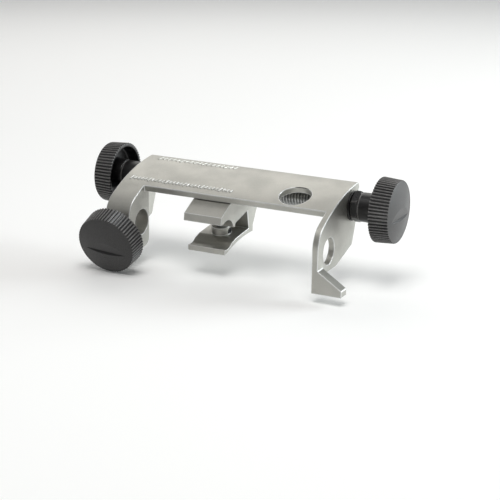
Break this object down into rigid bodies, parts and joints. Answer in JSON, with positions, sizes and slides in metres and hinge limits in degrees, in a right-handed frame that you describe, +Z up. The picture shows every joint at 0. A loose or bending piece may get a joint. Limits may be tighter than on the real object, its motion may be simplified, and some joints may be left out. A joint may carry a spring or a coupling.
{
  "type": "wheel dressing jig",
  "caption": "Dressing jig for a wet grinding wheel: arched frame on a support bar, screw-fed diamond carriage, knurled feed knobs and lock knob.",
  "frame": {"origin": "on the axis of the bar bore, midway between the outer faces of the two cheeks", "axes": "+X along the bar bore towards the foot, -Y to the front with the lock knob, +Z up"},
  "size_m": [0.1562, 0.0679, 0.0509],
  "materials": {
    "cast_alloy": "tumbled pale grey casting",
    "steel": "turned bright steel",
    "bronze": "plain turned bronze",
    "black_plastic": "moulded black plastic",
    "black_steel": "blackened steel",
    "diamond": "rough crystal"
  },
  "bodies": {
    "frame": {"frame": "cast_alloy", "left_bush": "black_plastic", "right_bush": "black_plastic"},
    "feed_screw": {"lead_screw": "steel", "left_collar": "black_plastic", "right_collar": "black_plastic", "stop_nut": "black_steel", "left_knob": "black_plastic", "left_knob_insert": "bronze", "right_knob": "black_plastic", "right_knob_insert": "bronze"},
    "carriage": {"carriage": "cast_alloy", "drive_nut": "bronze", "nut_key": "steel", "diamond_holder": "steel", "diamond": "diamond", "diamond_screw": "black_steel"},
    "lock_pad": {"lock_pad": "bronze"},
    "lock_screw": {"lock_screw": "steel", "lock_knob": "black_plastic", "lock_knob_insert": "bronze"}
  },
  "joints": [
    {"name": "feed_screw_turn", "type": "hinge", "parent": "frame", "child": "feed_screw", "pos_m": [0, 0.026, 0.0149], "axis": [1, 0, 0], "range_deg": [-11399, 6119]},
    {"name": "carriage_feed", "type": "slide", "parent": "frame", "child": "carriage", "axis": [1, 0, 0], "range_m": [-0.0255, 0.0475]},
    {"name": "lock_pad_travel", "type": "slide", "parent": "frame", "child": "lock_pad", "axis": [0, -0.9553, -0.2957], "range_m": [0, 0.002]},
    {"name": "lock_screw_turn", "type": "hinge", "parent": "lock_pad", "child": "lock_screw", "pos_m": [-0.0485, 0, 0], "axis": [0, -0.9553, -0.2957], "range_deg": [0, 719]}
  ],
  "couplings": [
    {"joint": "carriage_feed", "follows": "feed_screw_turn", "m_per_rad": -0.00023873},
    {"joint": "lock_pad_travel", "follows": "lock_screw_turn", "m_per_rad": 0.00015915}
  ]
}
